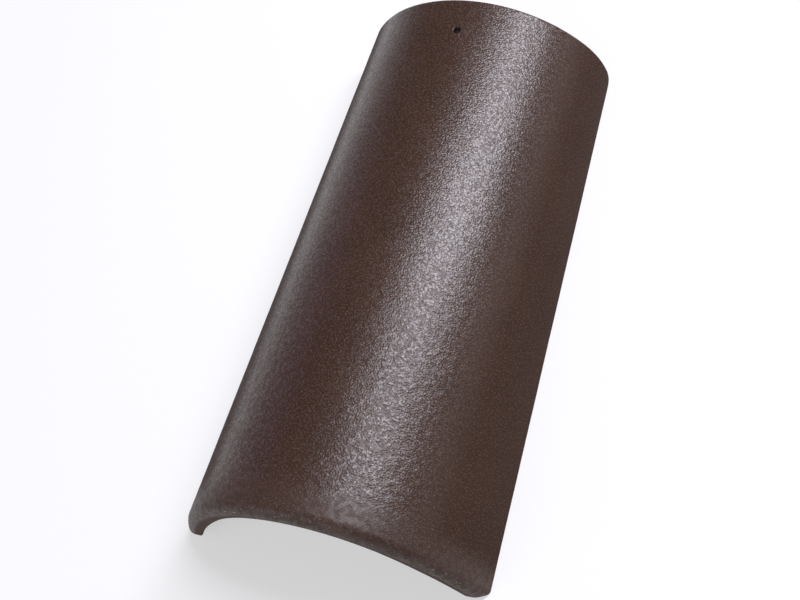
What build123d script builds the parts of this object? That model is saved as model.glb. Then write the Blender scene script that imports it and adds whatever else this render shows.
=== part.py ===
"""Tapered half-round ridge tile of coloured concrete, moulded in one piece. Millimetres.

The tile stands on its two long feet at Z = 0. Y runs along the ridge, from the wide end, which covers the
tile before it and has a rounded nose, to the narrow end, which the next tile covers and which is nailed.
X is across the ridge. The origin is on the ground under the middle of the tile.
"""

import os
from math import atan2, cos, degrees, radians, sin

from build123d import *

# Overall sizes
length = 450.0
wide_width = 246.0
wide_height = 106.5
narrow_width = 206.5
narrow_height = 94.0

# Outer section: a round crown that runs on into flatter flanks
crown_radius_wide = 117.0
crown_radius_narrow = 109.5
crown_half_angle = 55.0

# Hollow: a tighter crown and nearly straight flanks, so the wall is thickest at the haunches
crown_wall = 12.5
foot_width = 12.0
hollow_radius_wide = 91.0
hollow_radius_narrow = 84.0
hollow_half_angle = 48.0

# Edges
nose_radius = 9.0
front_corner_radius = 11.0
back_corner_radius = 11.5
rim_radius = 2.5
inner_edge_radius = 1.5

# Nail hole on the crown, near the narrow end
nail_hole_diameter = 5.5
nail_hole_rim_radius = 1.2
nail_hole_from_end = 31.0

# Degrees of flank arc drawn past the ground, before the feet are cut off level
below_ground = 4.0

half_length = length / 2
nail_hole_y = half_length - nail_hole_from_end


def arch(y, half_width, height, crown_radius, crown_half_angle):
    """A closed arch across the ridge at Y = y, its half width and height taken from the ground.

    A crown arc and a flank arc tangent to it each side, which run on a little below the ground.
    """
    turn = radians(crown_half_angle)
    haunch_x = crown_radius * sin(turn)
    haunch_z = height - crown_radius + crown_radius * cos(turn)
    reach = half_width - haunch_x
    flank_radius = (reach**2 + haunch_z**2) / (2 * (haunch_z * cos(turn) - reach * sin(turn)))
    flank_angle = 2 * (degrees(atan2(haunch_z, reach)) - crown_half_angle) + below_ground
    start = 90 - crown_half_angle
    with BuildSketch(Plane.XZ.offset(-y)) as section:
        with BuildLine():
            CenterArc((0, height - crown_radius), crown_radius, start, 2 * crown_half_angle)
            flank = JernArc((haunch_x, haunch_z), (cos(turn), -sin(turn)), flank_radius, -flank_angle)
            mirror(flank, about=Plane.YZ)
            Line(flank @ 1, (-(flank @ 1).X, (flank @ 1).Y))
        make_face()
    return section.sketch


with BuildPart() as ridge_tile:
    # Solid arch from the wide end at the front to the narrow end at the back
    wide_end = arch(-half_length, wide_width / 2, wide_height, crown_radius_wide, crown_half_angle)
    narrow_end = arch(half_length, narrow_width / 2, narrow_height, crown_radius_narrow, crown_half_angle)
    loft([wide_end, narrow_end], ruled=True)

    # Rounded nose round the wide end, and a slight rounding round the narrow end
    curved = ridge_tile.edges().filter_by(GeomType.LINE, reverse=True)
    fillet(curved.filter_by_position(Axis.Y, -half_length, -half_length), nose_radius)
    curved = ridge_tile.edges().filter_by(GeomType.LINE, reverse=True)
    fillet(curved.filter_by_position(Axis.Y, half_length, half_length), rim_radius)

    # Rounded corners where the ends meet the feet: a side view that the whole body is trimmed to
    with BuildSketch(Plane.YZ) as side_view:
        Rectangle(length, 2 * wide_height, align=(Align.CENTER, Align.MIN))
        fillet(side_view.vertices().group_by(Axis.Y)[0].sort_by(Axis.X)[0], front_corner_radius)
        fillet(side_view.vertices().group_by(Axis.Y)[0].sort_by(Axis.X)[-1], back_corner_radius)
    extrude(amount=wide_width, both=True, mode=Mode.INTERSECT)

    # Hollow underside
    hollow_wide = arch(-half_length, wide_width / 2 - foot_width, wide_height - crown_wall,
                       hollow_radius_wide, hollow_half_angle)
    hollow_narrow = arch(half_length, narrow_width / 2 - foot_width, narrow_height - crown_wall,
                         hollow_radius_narrow, hollow_half_angle)
    loft([hollow_wide, hollow_narrow], ruled=True, mode=Mode.SUBTRACT)

    # Slight rounding where the hollow meets the two end faces
    arcs = ridge_tile.edges().filter_by(GeomType.CIRCLE)
    front_arcs = arcs.filter_by_position(Axis.Y, -half_length, -half_length)
    back_arcs = arcs.filter_by_position(Axis.Y, half_length, half_length)
    fillet(front_arcs + back_arcs, inner_edge_radius)

    # Nail hole straight down through the crown, its rim rounded
    with Locations((0, nail_hole_y, wide_height)):
        Hole(nail_hole_diameter / 2, depth=wide_height)
    rim = ridge_tile.edges(Select.LAST).group_by(Axis.Z)[-1]
    fillet(rim, nail_hole_rim_radius)

ridge_tile.part.label = "ridge_tile"

os.makedirs("parts", exist_ok=True)
export_step(ridge_tile.part, "parts/ridge_tile.step")
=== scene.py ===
from math import cos, pi, radians, sin

import bpy
from mathutils import Matrix, Vector


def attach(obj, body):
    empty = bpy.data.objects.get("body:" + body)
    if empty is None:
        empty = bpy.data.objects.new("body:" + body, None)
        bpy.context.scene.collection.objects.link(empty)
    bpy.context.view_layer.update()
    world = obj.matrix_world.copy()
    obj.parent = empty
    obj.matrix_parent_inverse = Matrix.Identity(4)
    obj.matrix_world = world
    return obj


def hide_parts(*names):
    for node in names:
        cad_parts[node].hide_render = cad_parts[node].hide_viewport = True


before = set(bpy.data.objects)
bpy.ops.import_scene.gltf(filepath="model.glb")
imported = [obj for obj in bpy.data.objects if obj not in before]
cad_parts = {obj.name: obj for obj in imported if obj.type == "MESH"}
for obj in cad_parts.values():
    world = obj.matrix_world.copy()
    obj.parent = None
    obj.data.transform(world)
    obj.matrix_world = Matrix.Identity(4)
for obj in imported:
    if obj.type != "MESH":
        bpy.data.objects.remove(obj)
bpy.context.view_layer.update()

scene = bpy.context.scene


# Ridge tile: a tapered half-round cap, moulded in one piece from coloured concrete and sprayed with a
# semi-gloss coating. The wide end has a rounded nose, the narrow end a nail hole through the crown, and the
# hollow underside is bare. It is bent from one box mesh, rounded at its edges and roughened a little.
class Wire:
    """What comes out of a node: it takes part in sums and adds further nodes to the same tree."""

    def __init__(self, tree, socket=None):
        self.tree = tree
        self.socket = socket

    def add(self, kind, settings=None, values=None, out=0):
        """A further node, with its settings, its inputs by name or number, and the output to go on with."""
        node = self.tree.nodes.new(kind)
        for name, setting in (settings or {}).items():
            setattr(node, name, setting)
        for name, value in (values or {}).items():
            if isinstance(value, Wire):
                self.tree.links.new(value.socket, node.inputs[name])
            else:
                node.inputs[name].default_value = value
        return Wire(self.tree, node.outputs[out] if node.outputs else None)

    def maths(self, operation, *others):
        """A number worked out from this one, and from others where the operation takes them."""
        return self.add("ShaderNodeMath", {"operation": operation}, dict(enumerate((self, *others))))

    def __add__(self, other):
        return self.maths("ADD", other)

    __radd__ = __add__

    def __mul__(self, other):
        return self.maths("MULTIPLY", other)

    __rmul__ = __mul__

    def __sub__(self, other):
        return self.maths("SUBTRACT", other)

    def __rsub__(self, other):
        return self * -1.0 + other

    def __truediv__(self, other):
        return self.maths("DIVIDE", other)

    def vector(self, operation, other, out="Vector"):
        """A vector, or a number from its Value output, worked out from this vector and another."""
        return self.add("ShaderNodeVectorMath", {"operation": operation}, {0: self, 1: other}, out)

    def scaled(self, factor):
        """This vector made longer by a factor."""
        return self.add("ShaderNodeVectorMath", {"operation": "SCALE"}, {0: self, "Scale": factor})

    def apart(self):
        """The three parts of a vector."""
        split = self.add("ShaderNodeSeparateXYZ", None, {0: self}).socket.node
        return [Wire(self.tree, part) for part in split.outputs]

    def together(self, y, z):
        """The vector that has this number as its X."""
        return self.add("ShaderNodeCombineXYZ", None, {0: self, 1: y, 2: z})

    def ramp(self, start, end, low=0.0, high=1.0):
        """A soft step from low to high between two values."""
        return self.add("ShaderNodeMapRange", {"interpolation_type": "SMOOTHSTEP"},
                        {0: self, 1: start, 2: end, 3: low, 4: high})

    def mix(self, first, second):
        """A number between two others, at this share of the way."""
        return self.add("ShaderNodeMix", None, {0: self, 2: first, 3: second})

    def blend(self, first, second):
        """A colour between two others, at this share of the way."""
        return self.add("ShaderNodeMix", {"data_type": "RGBA"}, {0: self, 6: first, 7: second}, 2)

    def noise(self, grain, detail=0.0, roughness=0.5, distortion=0.0):
        """Cloudy noise from 0 to 1 at this place, its blotches about one grain across."""
        return self.add("ShaderNodeTexNoise", None, {"Vector": self, "Scale": 1.0 / grain, "Detail": detail,
                                                     "Roughness": roughness, "Distortion": distortion})

    def grains(self, grain):
        """Distance from the middle of the nearest grain, in packed sand with its grains this far apart."""
        return self.add("ShaderNodeTexVoronoi", None, {"Vector": self, "Scale": 1.0 / grain})


def placed(name, data):
    """A new object in the scene, at the origin."""
    thing = bpy.data.objects.new(name, data)
    scene.collection.objects.link(thing)
    return thing


def blank_material(name):
    """A new material with nothing in its tree, and the wire that its nodes are added from."""
    material = bpy.data.materials.new(name)
    material.use_nodes = True
    material.node_tree.nodes.clear()
    return material, Wire(material.node_tree)


tile_sizes = {
    "Length": 0.450,
    "Wide end width": 0.246,
    "Wide end height": 0.1065,
    "Wide end crown radius": 0.117,
    "Wide end hollow radius": 0.091,
    "Narrow end width": 0.2065,
    "Narrow end height": 0.094,
    "Narrow end crown radius": 0.1095,
    "Narrow end hollow radius": 0.084,
    "Crown half angle": radians(55),
    "Hollow half angle": radians(48),
    "Crown wall": 0.0125,
    "Foot width": 0.0135,
    "Nose radius": 0.009,
    "Front corner radius": 0.011,
    "Back corner radius": 0.0115,
    "Rim radius": 0.0025,
    "Edge radius": 0.0016,
    "Foot inner radius": 0.006,
    "Nail hole diameter": 0.0055,
    "Nail hole rim": 0.0012,
    "Nail hole from end": 0.031,
    "Relief": 0.00035,
}

# Rows of faces, narrow ones next to the ends and the feet, where the edges are rounded
rows_across = 168
rows_along = 236
rows_through = 16
edge_row = 0.0008
edge_rows = 12

tile = placed("ridge_tile_visual", bpy.data.meshes.new("ridge_tile_visual"))
maker = tile.modifiers.new("maker", "NODES")
tree = bpy.data.node_groups.new("ridge tile maker", "GeometryNodeTree")
maker.node_group = tree
given = tree.nodes.new("NodeGroupInput")
size = {}
for name, value in tile_sizes.items():
    socket = tree.interface.new_socket(name, in_out="INPUT", socket_type="NodeSocketFloat")
    socket.default_value = value
    maker[socket.identifier] = value
    size[name] = Wire(tree, given.outputs[name])
tree.interface.new_socket("Geometry", in_out="OUTPUT", socket_type="NodeSocketGeometry")
half_length = size["Length"] * 0.5
hole_y = half_length - size["Nail hole from end"]


def arch_point(across, half_width, height, crown_radius, half_angle):
    """Place on an arch at this share of the way from crown to foot: a crown arc, then a flank arc."""
    haunch_x = crown_radius * half_angle.maths("SINE")
    haunch_z = height - crown_radius + crown_radius * half_angle.maths("COSINE")
    reach = half_width - haunch_x
    chord = haunch_z * half_angle.maths("COSINE") - reach * half_angle.maths("SINE")
    flank_radius = (reach * reach + haunch_z * haunch_z) / (2 * chord)
    flank_angle = 2 * (haunch_z.maths("ARCTAN2", reach) - half_angle)
    crown_path = crown_radius * half_angle
    whole_path = crown_path + flank_radius * flank_angle
    path = across * whole_path
    on_crown = (path / crown_radius).maths("MINIMUM", half_angle)
    on_flank = half_angle + (path - crown_path).maths("MAXIMUM", 0.0) / flank_radius
    x = (crown_radius * on_crown.maths("SINE")
         + flank_radius * (on_flank.maths("SINE") - half_angle.maths("SINE")))
    z = (height - crown_radius + crown_radius * on_crown.maths("COSINE")
         + flank_radius * (on_flank.maths("COSINE") - half_angle.maths("COSINE")))
    return x, z, whole_path


def wall(across, y):
    """Outside and inside of the wall at this place, the thickness between, and the outer path to a foot."""
    along = y / size["Length"] + 0.5
    half_width = along.mix(size["Wide end width"], size["Narrow end width"]) * 0.5
    height = along.mix(size["Wide end height"], size["Narrow end height"])
    crown_radius = along.mix(size["Wide end crown radius"], size["Narrow end crown radius"])
    hollow_radius = along.mix(size["Wide end hollow radius"], size["Narrow end hollow radius"])
    x_out, z_out, path = arch_point(across, half_width, height, crown_radius, size["Crown half angle"])
    x_in, z_in, _ = arch_point(across, half_width - size["Foot width"], height - size["Crown wall"],
                               hollow_radius, size["Hollow half angle"])
    outside = x_out.together(0.0, z_out)
    inside = x_in.together(0.0, z_in)
    return outside, inside, outside.vector("DISTANCE", inside, "Value"), path


def rounded(a, b, radius):
    """Distances from two faces that meet at a corner, drawn in so that the corner is round."""
    p = (a / radius).maths("MINIMUM", 1.0) - 1.0
    q = (b / radius).maths("MINIMUM", 1.0) - 1.0
    a = a + radius * p * ((1.0 - q * q * 0.5).maths("SQRT") - 1.0)
    b = b + radius * q * ((1.0 - p * p * 0.5).maths("SQRT") - 1.0)
    return a, b


def from_edge(share, whole, rows):
    """Distance from an edge with narrow rows near it, from the share of the way there in even rows."""
    row = share * rows
    near = edge_row * edge_rows
    wide_row = (whole - near) / (rows - edge_rows)
    return (row.maths("MINIMUM", float(edge_rows)) * edge_row
            + (row - float(edge_rows)).maths("MAXIMUM", 0.0) * wide_row)


# A flat box, X across the tile, Y along it and Z through the wall, whose points find their distances from
# the tile's faces and are rounded in at its edges
box = Wire(tree).add("GeometryNodeMeshCube", None, {
    "Size": (2.0, 2.0, 1.0), "Vertices X": rows_across + 1, "Vertices Y": rows_along + 1,
    "Vertices Z": rows_through + 1})
box_x, box_y, box_z = Wire(tree).add("GeometryNodeInputPosition").apart()
side = box_x.maths("SIGN")
end = box_y.maths("SIGN")
to_end = from_edge(1.0 - box_y.maths("ABSOLUTE"), half_length, rows_along / 2)
_, _, thickness, path = wall(box_x.maths("ABSOLUTE"), end * (half_length - to_end))
to_foot = from_edge(1.0 - box_x.maths("ABSOLUTE"), path, rows_across / 2)
depth = (0.5 - box_z) * thickness
at_front = (end * -1.0).maths("MAXIMUM", 0.0)
nose = at_front.mix(size["Rim radius"], size["Nose radius"])
corner = at_front.mix(size["Back corner radius"], size["Front corner radius"])
to_end, depth = rounded(to_end, depth, nose)
to_end, height_in = rounded(to_end, thickness - depth, size["Edge radius"])
depth = thickness - height_in
to_foot, depth = rounded(to_foot, depth, size["Edge radius"])
to_foot, height_in = rounded(to_foot, thickness - depth, size["Foot inner radius"])
depth = thickness - height_in
to_end, to_foot = rounded(to_end, to_foot, corner)

# Bent into the arch. The place on the unrolled tile is kept for the relief and the coating.
y = end * (half_length - to_end)
across = (1.0 - to_foot / path).maths("MAXIMUM", 0.0)
outside, inside, _, _ = wall(across, y)
share = depth / thickness
x, _, z = outside.scaled(1.0 - share).vector("ADD", inside.scaled(share)).apart()
flat = (side * (path - to_foot)).together(y, depth)
box = box.add("GeometryNodeStoreNamedAttribute", {"data_type": "FLOAT_VECTOR"},
              {"Geometry": box, "Name": "flat", 3: flat})
box = box.add("GeometryNodeSetPosition", None, {"Geometry": box, "Position": (side * x).together(y, z)})

# The moulded and sprayed surface is a little uneven, leathery towards the nose, and never proud of its size
swell_size = 0.055
leather_size = 0.008
leather_slant = 0.6
place = Wire(tree).add("GeometryNodeInputNamedAttribute", {"data_type": "FLOAT_VECTOR"}, {"Name": "flat"})
place_x, place_y, place_depth = place.apart()
swell = place.noise(swell_size, 1.0)
slanted = (place_x + place_y * leather_slant).together(place_y - place_x * leather_slant, place_depth)
leather = slanted.noise(leather_size, 1.0, 0.5, 0.5)
leathery = place_y.ramp(0.10, -0.14, 0.15, 0.85)
hole_place = Wire(tree).add("ShaderNodeCombineXYZ", None, {1: hole_y})
clear_of_hole = place.vector("DISTANCE", hole_place, "Value").ramp(0.004, 0.014)
less_inside = place_depth.ramp(0.004, 0.010, 1.0, 0.4)
relief = (swell * 0.9 + leather * leathery) * size["Relief"] * (less_inside * clear_of_hole)
normal = Wire(tree).add("GeometryNodeInputNormal")
box = box.add("GeometryNodeSetPosition", None, {"Geometry": box, "Offset": normal.scaled(relief * -1.0)})

# Nail hole, cut straight down by a punch whose top rows flare out to the rounded rim
punch_sides = 40
punch_rows = 8
punch_above = 0.005
punch_below = 0.030
punch = Wire(tree).add("GeometryNodeMeshCylinder", None, {
    "Vertices": punch_sides, "Side Segments": punch_rows, "Radius": 1.0, "Depth": 1.0})
punch_x, punch_y, punch_z = Wire(tree).add("GeometryNodeInputPosition").apart()
row = (punch_z + 0.5) * float(punch_rows)
turn = ((row - 1.0) / (punch_rows - 2.0)).maths("MINIMUM", 1.0).maths("MAXIMUM", 0.0) * (pi / 2)
reach = size["Nail hole diameter"] * 0.5 + size["Nail hole rim"] * (1.0 - turn.maths("COSINE"))
crown_z = (hole_y / size["Length"] + 0.5).mix(size["Wide end height"], size["Narrow end height"])
rise = crown_z - size["Nail hole rim"] * (1.0 - turn.maths("SINE"))
rise = rise + (row - (punch_rows - 1.0)).maths("MAXIMUM", 0.0) * punch_above
rise = rise - (1.0 - row).maths("MAXIMUM", 0.0) * punch_below
punch = punch.add("GeometryNodeSetPosition", None, {
    "Geometry": punch, "Position": (punch_x * reach).together(punch_y * reach + hole_y, rise)})
box = box.add("GeometryNodeMeshBoolean", {"operation": "DIFFERENCE", "solver": "MANIFOLD"},
              {"Mesh 1": box, "Mesh 2": punch})
smooth = Wire(tree).add("GeometryNodeInputMeshEdgeAngle").maths("LESS_THAN", radians(40))
box = box.add("GeometryNodeSetShadeSmooth", {"domain": "EDGE"}, {"Geometry": box, "Shade Smooth": smooth})

# Coating: warm dark brown with a fine sandy grain, semi-gloss where it lies thick and coarser towards the
# nose. It is thin down the right flank, along the left foot and round the nose. The hollow is bare concrete,
# painted paler than it is as fill light in its shade, and a few pale chips show on the end faces and feet.
dark_brown = (0.0360, 0.0142, 0.0060, 1.0)
mid_brown = (0.0426, 0.0176, 0.0080, 1.0)
grey_brown = (0.110, 0.076, 0.062, 1.0)
# Bare concrete of the hollow: its own uncoated colour, made paler as painted fill light for the shaded hollow
bare_concrete_painted_fill = (0.088, 0.060, 0.047, 1.0)
pale_chip = (0.260, 0.220, 0.190, 1.0)
cloud_size = 0.060
grit_size = 0.0045
chip_size = 0.0021
fleck_size = 0.0018
sand_size = 0.0013
grain_height = 0.00032
nose_spray = 0.62
nose_coat = 0.45
matt_roughness = 0.93
sprayed_smoother = 0.65
finish, paint = blank_material("coated_concrete_visual")
spot = paint.add("ShaderNodeAttribute", {"attribute_name": "flat"}, out="Vector")
spot_x, spot_y, spot_depth = spot.apart()
cloud = spot.noise(cloud_size, 3.0, 0.55)
sand = spot.noise(sand_size)
fleck = spot.grains(fleck_size)
grit = spot.noise(grit_size)
bare = spot_depth.ramp(0.0075, 0.0110)
at_nose = spot_y.ramp(-0.190, -0.216)
to_nose = spot_y.ramp(0.05, -0.11)
right_spray = spot_x.ramp(0.074, 0.118, 1.0, 0.05)
left_spray = spot_x.ramp(-0.108, -0.076, 0.12, 1.0)
sprayed = at_nose.mix(right_spray * left_spray, nose_spray) * (1.0 - bare)
colour = cloud.ramp(0.35, 0.65).blend(dark_brown, mid_brown)
colour = (sand.ramp(0.52, 0.78) * 0.55).blend(colour, grey_brown)
# The hollow gets the bare concrete colour, whose extra paleness is painted fill light in the hollow's shade
colour = bare.blend(colour, (grit.ramp(0.35, 0.65) * 0.5).blend(bare_concrete_painted_fill, grey_brown))
chipped = spot.noise(chip_size).ramp(0.73, 0.79) * spot_depth.ramp(0.0005, 0.0040) * (1.0 - bare)
colour = chipped.blend(colour, pale_chip)
coat = at_nose.mix(fleck.ramp(0.12, 0.60, 1.0, 0.08), nose_coat) * sprayed
coat = coat * (1.0 - to_nose * grit.ramp(0.40, 0.62, 0.0, 0.60))
roughness = grit * 0.08 + matt_roughness - sprayed * (sprayed_smoother - to_nose * 0.05)
height = (sand - grit * (0.35 + 0.6 * to_nose)) * (1.0 + at_nose * 0.1)
bump = paint.add("ShaderNodeBump", None, {"Strength": 1.0, "Distance": grain_height, "Height": height})
shell = paint.add("ShaderNodeBsdfPrincipled", None, {
    "Base Color": colour, "Roughness": roughness, "Normal": bump, "Specular IOR Level": 0.38,
    "Coat Weight": coat, "Coat Roughness": 0.42, "Coat IOR": 1.7})
paint.add("ShaderNodeOutputMaterial", None, {"Surface": shell})

box = box.add("GeometryNodeRealizeInstances", None, {"Geometry": box})
box = box.add("GeometryNodeSetMaterial", None, {"Geometry": box, "Material": finish})
box.add("NodeGroupOutput", None, {"Geometry": box})

made = bpy.data.meshes.new_from_object(tile.evaluated_get(bpy.context.evaluated_depsgraph_get()))
tile.modifiers.clear()
tile.data = made
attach(tile, "root")
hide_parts("ridge_tile")


# Floor: a plain white studio floor, swept up into a low wall far off all round. It takes the tile's soft
# shadow, and glows more towards the wall, where the lamps leave it dim.
ring_points = 64
sweep = [(4.6, 0.0), (5.2, 0.06), (5.7, 0.28), (6.0, 0.80), (6.1, 2.2)]
floor_grey = (0.44, 0.44, 0.44, 1.0)
near_glow = 0.52
far_glow = 0.76
wall_light = 0.10
points = [(radius * cos(2 * pi * i / ring_points), radius * sin(2 * pi * i / ring_points), height)
          for radius, height in sweep for i in range(ring_points)]
faces = [list(range(ring_points))]
for ring in range(len(sweep) - 1):
    for i in range(ring_points):
        inner = ring * ring_points
        outer = inner + ring_points
        after = (i + 1) % ring_points
        faces.append((inner + i, outer + i, outer + after, inner + after))
floor_mesh = bpy.data.meshes.new("floor")
floor_mesh.from_pydata(points, [], faces)
floor_mesh.polygons.foreach_set("use_smooth", [True] * len(faces))
floor = placed("floor", floor_mesh)
floor_finish, paint = blank_material("floor_white")
camera_ray, glossy_ray, through_ray = [paint.add("ShaderNodeLightPath", out=f"Is {kind} Ray")
                                       for kind in ("Camera", "Glossy", "Transmission")]
seen = camera_ray.maths("MAXIMUM", glossy_ray).maths("MAXIMUM", through_ray)
far = paint.add("ShaderNodeTexCoord", out="Object").vector("DISTANCE", (0.0, 0.0, 0.0), "Value")
strength = (far.ramp(4.0, 5.2).mix(seen * near_glow, wall_light)
            + camera_ray * far.ramp(1.6, 5.2, 0.0, far_glow))
matt = paint.add("ShaderNodeBsdfDiffuse", None, {"Color": floor_grey})
glow = paint.add("ShaderNodeEmission", None, {"Color": (1.0, 1.0, 1.0, 1.0), "Strength": strength})
lit = paint.add("ShaderNodeAddShader", None, {0: matt, 1: glow})
paint.add("ShaderNodeOutputMaterial", None, {"Surface": lit})
floor_mesh.materials.append(floor_finish)


# Camera: above the right front of the tile, turned on its side so that the ridge runs up the picture.
picture_width = 800
focal_pixels = 1516.154
shift_pixels = (-2.178, -29.384)
sensor_width = 36.0
aim = Vector((0.0, 0.0, 0.0482))
azimuth = radians(42.688)
elevation = radians(57.045)
roll = radians(-29.427)
camera_distance = 1.1632
turned = Matrix.Rotation(azimuth, 3, "Z") @ Matrix.Rotation(pi / 2 - elevation, 3, "X")
turned = turned @ Matrix.Rotation(roll, 3, "Z")
camera = placed("camera", bpy.data.cameras.new("camera"))
camera.data.sensor_width = sensor_width
camera.data.lens = focal_pixels * sensor_width / picture_width
camera.data.shift_x, camera.data.shift_y = (shift / picture_width for shift in shift_pixels)
camera.data.clip_start = 0.01
camera.rotation_euler = turned.to_euler()
camera.location = aim + turned @ Vector((0.0, 0.0, camera_distance))
scene.camera = camera


# Light: a long lamp high behind the narrow end on the right, whose shine runs down the crown, a faint violet
# one low on the left, a broad one that softens the front, and a pale surround, all at a plain level.
def soft_lamp(name, place, aimed_at, width, height, power, colour=(1.0, 1.0, 1.0)):
    """A rectangular lamp in metres and watts, which shines from its place towards a point."""
    lamp = placed(name, bpy.data.lights.new(name, "AREA"))
    lamp.data.shape = "RECTANGLE"
    lamp.data.size = width
    lamp.data.size_y = height
    lamp.data.energy = power
    lamp.data.color = colour
    lamp.location = place
    lamp.rotation_euler = (Vector(place) - Vector(aimed_at)).to_track_quat("Z", "Y").to_euler()


soft_lamp("main_lamp", (1.02, 1.20, 2.22), (0.04, -0.02, 0.09), 0.60, 2.2, 84.0, (1.0, 0.98, 1.08))
soft_lamp("left_lamp", (-1.3, 0.28, 0.55), (0.0, -0.05, 0.08), 0.8, 0.25, 0.52, (0.78, 0.56, 1.14))
soft_lamp("front_lamp", (-0.6, -1.6, 0.95), (0.0, -0.1, 0.06), 2.4, 1.2, 12.0)
world = bpy.data.worlds.new("pale_room")
world.use_nodes = True
surround = world.node_tree.nodes["Background"].inputs
surround["Color"].default_value = (0.98, 0.94, 1.06, 1.0)
surround["Strength"].default_value = 0.16
scene.world = world

scene.view_settings.view_transform = "Standard"
